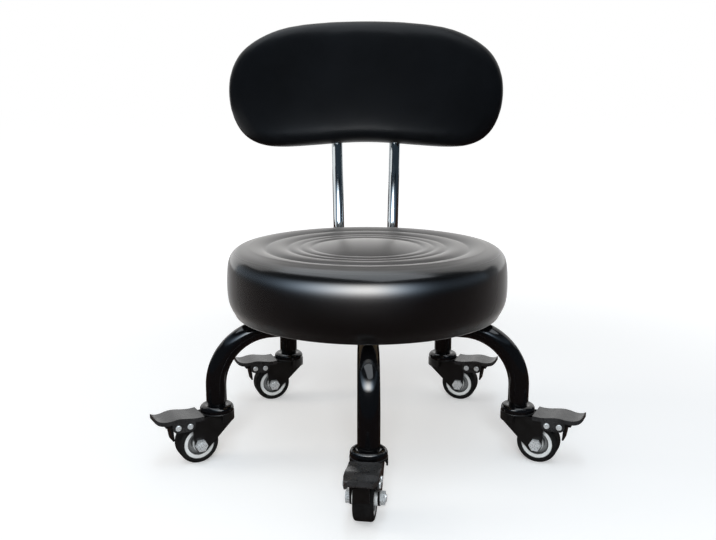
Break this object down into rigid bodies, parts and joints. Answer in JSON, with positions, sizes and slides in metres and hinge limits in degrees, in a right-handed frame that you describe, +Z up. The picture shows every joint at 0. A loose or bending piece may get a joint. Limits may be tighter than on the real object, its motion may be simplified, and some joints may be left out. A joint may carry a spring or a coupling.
{
  "type": "rolling stool",
  "caption": "Low rolling work stool with a round padded seat, a bean-shaped padded backrest on bent chrome bars, bent tube legs and braked swivel casters.",
  "frame": {"origin": "on the floor, straight under the centre of the round seat", "axes": "+Z up; the backrest stands at +Y and the sitter faces -Y; +X is the sitter's left"},
  "size_m": [0.5226, 0.4977, 0.5439],
  "materials": {
    "seat_leatherette": "smooth black leatherette with a soft sheen",
    "back_leatherette": "smooth black leatherette, slightly blue",
    "foam": "soft open foam",
    "plywood": "raw plywood",
    "black_gloss": "gloss black paint",
    "black_satin": "satin black paint",
    "pedal_satin": "worn satin black paint",
    "chrome_tube": "polished chrome",
    "zinc": "bright zinc plate",
    "tread": "matt black tyre",
    "wheel_core": "pale grey moulded plastic",
    "black_plastic": "black moulded plastic"
  },
  "bodies": {
    "frame": {"seat_cover": "seat_leatherette", "seat_foam": "foam", "seat_board": "plywood", "cover_staples": "zinc", "hub_tube": "black_gloss", "mounting_plate": "black_gloss", "plate_screws": "zinc", "leg_inserts": "zinc", "leg_1": "black_gloss", "leg_2": "black_gloss", "leg_3": "black_gloss", "leg_4": "black_gloss", "leg_5": "black_gloss", "back_bar_left": "chrome_tube", "back_bar_right": "chrome_tube", "bar_end_plugs": "black_plastic", "seat_bar_screws": "zinc", "backrest_screws": "zinc", "backrest_cover": "back_leatherette", "backrest_foam": "foam", "backrest_board": "plywood", "tee_nuts": "zinc", "caster_stems": "black_gloss", "caster_caps": "black_gloss", "swivel_balls": "zinc"},
    "caster_1": {"caster_1_fork": "black_satin", "caster_1_axle": "zinc"},
    "wheel_1": {"caster_1_tread": "tread", "caster_1_wheel_core": "wheel_core"},
    "pedal_1": {"caster_1_pedal": "pedal_satin", "caster_1_brake_shoe": "black_satin", "caster_1_rivets": "zinc"},
    "caster_2": {"caster_2_fork": "black_satin", "caster_2_axle": "zinc"},
    "wheel_2": {"caster_2_tread": "tread", "caster_2_wheel_core": "wheel_core"},
    "pedal_2": {"caster_2_pedal": "pedal_satin", "caster_2_brake_shoe": "black_satin", "caster_2_rivets": "zinc"},
    "caster_3": {"caster_3_fork": "black_satin", "caster_3_axle": "zinc"},
    "wheel_3": {"caster_3_tread": "tread", "caster_3_wheel_core": "wheel_core"},
    "pedal_3": {"caster_3_pedal": "pedal_satin", "caster_3_brake_shoe": "black_satin", "caster_3_rivets": "zinc"},
    "caster_4": {"caster_4_fork": "black_satin", "caster_4_axle": "zinc"},
    "wheel_4": {"caster_4_tread": "tread", "caster_4_wheel_core": "wheel_core"},
    "pedal_4": {"caster_4_pedal": "pedal_satin", "caster_4_brake_shoe": "black_satin", "caster_4_rivets": "zinc"},
    "caster_5": {"caster_5_fork": "black_satin", "caster_5_axle": "zinc"},
    "wheel_5": {"caster_5_tread": "tread", "caster_5_wheel_core": "wheel_core"},
    "pedal_5": {"caster_5_pedal": "pedal_satin", "caster_5_brake_shoe": "black_satin", "caster_5_rivets": "zinc"}
  },
  "joints": [
    {"name": "caster_1_swivel", "type": "hinge", "parent": "frame", "child": "caster_1", "pos_m": [0, -0.195, 0], "axis": [0, 0, 1], "continuous": true},
    {"name": "wheel_1_spin", "type": "hinge", "parent": "caster_1", "child": "wheel_1", "pos_m": [-0.00383, -0.22223, 0.025], "axis": [0.9903, -0.1392, 0], "continuous": true},
    {"name": "pedal_1_press", "type": "hinge", "parent": "caster_1", "child": "pedal_1", "pos_m": [-0.00561, -0.23491, 0.052], "axis": [0.9903, -0.1392, 0], "range_deg": [0, 11]},
    {"name": "caster_2_swivel", "type": "hinge", "parent": "frame", "child": "caster_2", "pos_m": [0.18546, -0.06026, 0], "axis": [0, 0, 1], "continuous": true},
    {"name": "wheel_2_spin", "type": "hinge", "parent": "caster_2", "child": "wheel_2", "pos_m": [0.21017, -0.07231, 0.025], "axis": [0.4384, 0.8988, 0], "continuous": true},
    {"name": "pedal_2_press", "type": "hinge", "parent": "caster_2", "child": "pedal_2", "pos_m": [0.22168, -0.07792, 0.052], "axis": [0.4384, 0.8988, 0], "range_deg": [0, 11]},
    {"name": "caster_3_swivel", "type": "hinge", "parent": "frame", "child": "caster_3", "pos_m": [0.11462, 0.15776, 0], "axis": [0, 0, 1], "continuous": true},
    {"name": "wheel_3_spin", "type": "hinge", "parent": "caster_3", "child": "wheel_3", "pos_m": [0.14046, 0.14835, 0.025], "axis": [0.342, 0.9397, 0], "continuous": true},
    {"name": "pedal_3_press", "type": "hinge", "parent": "caster_3", "child": "pedal_3", "pos_m": [0.15249, 0.14397, 0.052], "axis": [0.342, 0.9397, 0], "range_deg": [0, 11]},
    {"name": "caster_4_swivel", "type": "hinge", "parent": "frame", "child": "caster_4", "pos_m": [-0.11462, 0.15776, 0], "axis": [0, 0, 1], "continuous": true},
    {"name": "wheel_4_spin", "type": "hinge", "parent": "caster_4", "child": "wheel_4", "pos_m": [-0.14046, 0.14835, 0.025], "axis": [0.342, -0.9397, 0], "continuous": true},
    {"name": "pedal_4_press", "type": "hinge", "parent": "caster_4", "child": "pedal_4", "pos_m": [-0.15249, 0.14397, 0.052], "axis": [0.342, -0.9397, 0], "range_deg": [0, 11]},
    {"name": "caster_5_swivel", "type": "hinge", "parent": "frame", "child": "caster_5", "pos_m": [-0.18546, -0.06026, 0], "axis": [0, 0, 1], "continuous": true},
    {"name": "wheel_5_spin", "type": "hinge", "parent": "caster_5", "child": "wheel_5", "pos_m": [-0.20927, -0.07401, 0.025], "axis": [0.5, -0.866, 0], "continuous": true},
    {"name": "pedal_5_press", "type": "hinge", "parent": "caster_5", "child": "pedal_5", "pos_m": [-0.22036, -0.08041, 0.052], "axis": [0.5, -0.866, 0], "range_deg": [0, 11]}
  ]
}
